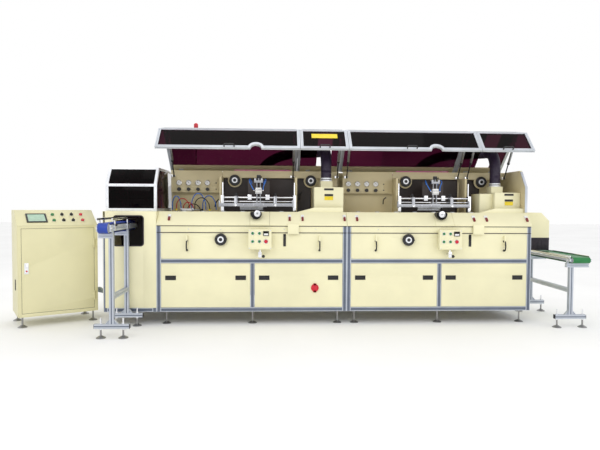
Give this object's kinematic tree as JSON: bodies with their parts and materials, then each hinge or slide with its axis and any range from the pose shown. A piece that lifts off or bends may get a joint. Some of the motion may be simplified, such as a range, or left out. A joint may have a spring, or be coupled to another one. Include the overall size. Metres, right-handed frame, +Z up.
{
  "type": "screen printing machine",
  "caption": "In-line screen printing machine for round containers, with tinted lift-up hoods, infeed and outfeed conveyors and a free-standing control cabinet.",
  "frame": {"origin": "middle of the footprint, on the floor", "axes": "+X along the machine towards its outfeed end, -Y towards the operator, +Z up"},
  "size_m": [5.6678, 1.64, 2.088],
  "materials": {
    "cream_paint": "satin powder coat",
    "tan_paint": "satin powder coat",
    "aluminium_profile": "anodised",
    "chrome_steel": "polished",
    "steel": "ground",
    "black_plastic": "moulded",
    "tinted_acrylic": "clear tinted",
    "duct_hose": "corrugated",
    "blue_belt": "smooth",
    "green_belt": "smooth",
    "conduit_grey": "corrugated",
    "green_plastic": "moulded",
    "red_plastic": "moulded",
    "black_steel": "satin"
  },
  "bodies": {
    "machine": {"machine_frame": "aluminium_profile", "levelling_feet": "chrome_steel", "front_covers": "cream_paint", "outer_panels": "cream_paint", "desk": "cream_paint", "machine_bed": "tan_paint", "upper_fascia": "tan_paint", "gauge_boards": "tan_paint", "guide_shafts": "chrome_steel", "uv_lamps": "cream_paint", "exhaust_ducts": "duct_hose", "hinge_rail": "aluminium_profile", "loader_cabinet": "cream_paint", "loader_guard_frame": "aluminium_profile", "loader_guard_panes": "tinted_acrylic", "signal_beacon": "red_plastic", "outlet_hood": "cream_paint", "conveyor_frames": "aluminium_profile", "infeed_belt": "blue_belt", "outfeed_belt": "green_belt", "box_brackets": "chrome_steel", "control_cabinet": "cream_paint", "service_conduits": "conduit_grey", "transfer_chain": "steel"},
    "panel_1": {"access_panel_1": "cream_paint"},
    "panel_2": {"access_panel_2": "cream_paint"},
    "panel_3": {"access_panel_3": "cream_paint"},
    "panel_4": {"access_panel_4": "cream_paint"},
    "hood_1": {"hood_1": "tinted_acrylic"},
    "strut_rods_1": {"strut_rods_1": "black_steel"},
    "strut_tubes_1": {"strut_tubes_1": "steel"},
    "hood_2": {"hood_2": "tinted_acrylic"},
    "strut_rods_2": {"strut_rods_2": "black_steel"},
    "strut_tubes_2": {"strut_tubes_2": "steel"},
    "hood_3": {"hood_3": "tinted_acrylic"},
    "strut_rods_3": {"strut_rods_3": "black_steel"},
    "strut_tubes_3": {"strut_tubes_3": "steel"},
    "hood_4": {"hood_4": "tinted_acrylic"},
    "strut_rods_4": {"strut_rods_4": "black_steel"},
    "strut_tubes_4": {"strut_tubes_4": "steel"},
    "front_handwheel_1": {"front_handwheel_1": "black_plastic"},
    "front_handwheel_2": {"front_handwheel_2": "black_plastic"},
    "fascia_handwheel_1": {"fascia_handwheel_1": "black_plastic"},
    "fascia_handwheel_2": {"fascia_handwheel_2": "black_plastic"},
    "fascia_handwheel_3": {"fascia_handwheel_3": "black_plastic"},
    "fascia_handwheel_4": {"fascia_handwheel_4": "black_plastic"},
    "desk_dial_1": {"desk_dial_1": "chrome_steel"},
    "desk_dial_2": {"desk_dial_2": "chrome_steel"},
    "screen_carriage_1": {"screen_carriage_1": "steel"},
    "squeegee_head_1": {"squeegee_head_1": "steel"},
    "screen_carriage_2": {"screen_carriage_2": "steel"},
    "squeegee_head_2": {"squeegee_head_2": "steel"},
    "operator_box_1": {"operator_box_1": "cream_paint"},
    "start_buttons_1": {"start_buttons_1": "green_plastic"},
    "stop_button_1": {"stop_button_1": "red_plastic"},
    "operator_box_2": {"operator_box_2": "cream_paint"},
    "start_buttons_2": {"start_buttons_2": "green_plastic"},
    "stop_button_2": {"stop_button_2": "red_plastic"},
    "cabinet_door": {"cabinet_door": "cream_paint"},
    "door_latch": {"door_latch": "chrome_steel"}
  },
  "joints": [
    {"name": "panel_1_lift_off", "type": "slide", "parent": "machine", "child": "panel_1", "axis": [0, -1, 0], "range_m": [0, 0.15]},
    {"name": "panel_2_lift_off", "type": "slide", "parent": "machine", "child": "panel_2", "axis": [0, -1, 0], "range_m": [0, 0.15]},
    {"name": "panel_3_lift_off", "type": "slide", "parent": "machine", "child": "panel_3", "axis": [0, -1, 0], "range_m": [0, 0.15]},
    {"name": "panel_4_lift_off", "type": "slide", "parent": "machine", "child": "panel_4", "axis": [0, -1, 0], "range_m": [0, 0.15]},
    {"name": "hood_1_hinge", "type": "hinge", "parent": "machine", "child": "hood_1", "pos_m": [-0.65812, 0.62, 1.54], "axis": [1, 0, 0], "range_deg": [0, 43]},
    {"name": "strut_1_swing", "type": "hinge", "parent": "machine", "child": "strut_rods_1", "pos_m": [-0.65812, 0.358, 1.478], "axis": [1, 0, 0], "range_deg": [0, 63.38]},
    {"name": "strut_1_telescope", "type": "slide", "parent": "strut_rods_1", "child": "strut_tubes_1", "axis": [0, -0.5616, 0.8274], "range_m": [-0.1235, 0]},
    {"name": "hood_2_hinge", "type": "hinge", "parent": "machine", "child": "hood_2", "pos_m": [0.28438, 0.62, 1.54], "axis": [1, 0, 0], "range_deg": [0, 43]},
    {"name": "strut_2_swing", "type": "hinge", "parent": "machine", "child": "strut_rods_2", "pos_m": [0.28438, 0.358, 1.478], "axis": [1, 0, 0], "range_deg": [0, 63.38]},
    {"name": "strut_2_telescope", "type": "slide", "parent": "strut_rods_2", "child": "strut_tubes_2", "axis": [0, -0.5616, 0.8274], "range_m": [-0.1235, 0]},
    {"name": "hood_3_hinge", "type": "hinge", "parent": "machine", "child": "hood_3", "pos_m": [1.18588, 0.62, 1.54], "axis": [1, 0, 0], "range_deg": [0, 43]},
    {"name": "strut_3_swing", "type": "hinge", "parent": "machine", "child": "strut_rods_3", "pos_m": [1.18588, 0.358, 1.478], "axis": [1, 0, 0], "range_deg": [0, 63.38]},
    {"name": "strut_3_telescope", "type": "slide", "parent": "strut_rods_3", "child": "strut_tubes_3", "axis": [0, -0.5616, 0.8274], "range_m": [-0.1235, 0]},
    {"name": "hood_4_hinge", "type": "hinge", "parent": "machine", "child": "hood_4", "pos_m": [2.11538, 0.62, 1.54], "axis": [1, 0, 0], "range_deg": [0, 43]},
    {"name": "strut_4_swing", "type": "hinge", "parent": "machine", "child": "strut_rods_4", "pos_m": [2.11538, 0.358, 1.478], "axis": [1, 0, 0], "range_deg": [0, 63.38]},
    {"name": "strut_4_telescope", "type": "slide", "parent": "strut_rods_4", "child": "strut_tubes_4", "axis": [0, -0.5616, 0.8274], "range_m": [-0.1235, 0]},
    {"name": "front_handwheel_1_turn", "type": "hinge", "parent": "machine", "child": "front_handwheel_1", "pos_m": [-0.72762, -0.186, 0.835], "axis": [0, -1, 0], "continuous": true},
    {"name": "front_handwheel_2_turn", "type": "hinge", "parent": "machine", "child": "front_handwheel_2", "pos_m": [1.11938, -0.186, 0.835], "axis": [0, -1, 0], "continuous": true},
    {"name": "fascia_handwheel_1_turn", "type": "hinge", "parent": "machine", "child": "fascia_handwheel_1", "pos_m": [-0.63262, 0.375, 1.437], "axis": [0, -1, 0], "continuous": true},
    {"name": "fascia_handwheel_2_turn", "type": "hinge", "parent": "machine", "child": "fascia_handwheel_2", "pos_m": [0.18538, 0.375, 1.437], "axis": [0, -1, 0], "continuous": true},
    {"name": "fascia_handwheel_3_turn", "type": "hinge", "parent": "machine", "child": "fascia_handwheel_3", "pos_m": [1.22238, 0.375, 1.437], "axis": [0, -1, 0], "continuous": true},
    {"name": "fascia_handwheel_4_turn", "type": "hinge", "parent": "machine", "child": "fascia_handwheel_4", "pos_m": [2.06038, 0.375, 1.437], "axis": [0, -1, 0], "continuous": true},
    {"name": "desk_dial_1_turn", "type": "hinge", "parent": "machine", "child": "desk_dial_1", "pos_m": [-0.37462, -0.154, 1.088], "axis": [0, -1, 0], "continuous": true},
    {"name": "desk_dial_2_turn", "type": "hinge", "parent": "machine", "child": "desk_dial_2", "pos_m": [1.47038, -0.154, 1.088], "axis": [0, -1, 0], "continuous": true},
    {"name": "screen_carriage_1_stroke", "type": "slide", "parent": "machine", "child": "screen_carriage_1", "axis": [1, 0, 0], "range_m": [-0.04, 0.1]},
    {"name": "squeegee_head_1_stroke", "type": "slide", "parent": "machine", "child": "squeegee_head_1", "axis": [0, 0, -1], "range_m": [0, 0.04]},
    {"name": "screen_carriage_2_stroke", "type": "slide", "parent": "machine", "child": "screen_carriage_2", "axis": [1, 0, 0], "range_m": [-0.04, 0.1]},
    {"name": "squeegee_head_2_stroke", "type": "slide", "parent": "machine", "child": "squeegee_head_2", "axis": [0, 0, -1], "range_m": [0, 0.04]},
    {"name": "operator_box_1_swivel", "type": "hinge", "parent": "machine", "child": "operator_box_1", "pos_m": [-0.34462, -0.252, 0.842], "axis": [0, 0, 1], "range_deg": [-12, 12]},
    {"name": "start_buttons_1_press", "type": "slide", "parent": "operator_box_1", "child": "start_buttons_1", "axis": [0, 1, 0], "range_m": [0, 0.0035], "stiffness_N_per_m": 800, "springref_m": -0.002},
    {"name": "stop_button_1_press", "type": "slide", "parent": "operator_box_1", "child": "stop_button_1", "axis": [0, 1, 0], "range_m": [0, 0.0035], "stiffness_N_per_m": 800, "springref_m": -0.002},
    {"name": "operator_box_2_swivel", "type": "hinge", "parent": "machine", "child": "operator_box_2", "pos_m": [1.51838, -0.252, 0.842], "axis": [0, 0, 1], "range_deg": [-12, 12]},
    {"name": "start_buttons_2_press", "type": "slide", "parent": "operator_box_2", "child": "start_buttons_2", "axis": [0, 1, 0], "range_m": [0, 0.0035], "stiffness_N_per_m": 800, "springref_m": -0.002},
    {"name": "stop_button_2_press", "type": "slide", "parent": "operator_box_2", "child": "stop_button_2", "axis": [0, 1, 0], "range_m": [0, 0.0035], "stiffness_N_per_m": 800, "springref_m": -0.002},
    {"name": "cabinet_door_hinge", "type": "hinge", "parent": "machine", "child": "cabinet_door", "pos_m": [-2.01085, 0.0228, 0.54], "axis": [0, 0, 1], "range_deg": [0, 75]},
    {"name": "door_latch_turn", "type": "hinge", "parent": "cabinet_door", "child": "door_latch", "pos_m": [-2.53733, -0.28537, 0.56], "axis": [-0.515, 0.8572, 0], "range_deg": [0, 90]}
  ],
  "couplings": [
    {"joint": "strut_1_swing", "follows": "hood_1_hinge", "ratio": 1.4624},
    {"joint": "strut_1_telescope", "follows": "hood_1_hinge", "m_per_rad": -0.16327},
    {"joint": "strut_2_swing", "follows": "hood_2_hinge", "ratio": 1.4624},
    {"joint": "strut_2_telescope", "follows": "hood_2_hinge", "m_per_rad": -0.16327},
    {"joint": "strut_3_swing", "follows": "hood_3_hinge", "ratio": 1.4624},
    {"joint": "strut_3_telescope", "follows": "hood_3_hinge", "m_per_rad": -0.16327},
    {"joint": "strut_4_swing", "follows": "hood_4_hinge", "ratio": 1.4624},
    {"joint": "strut_4_telescope", "follows": "hood_4_hinge", "m_per_rad": -0.16327}
  ]
}
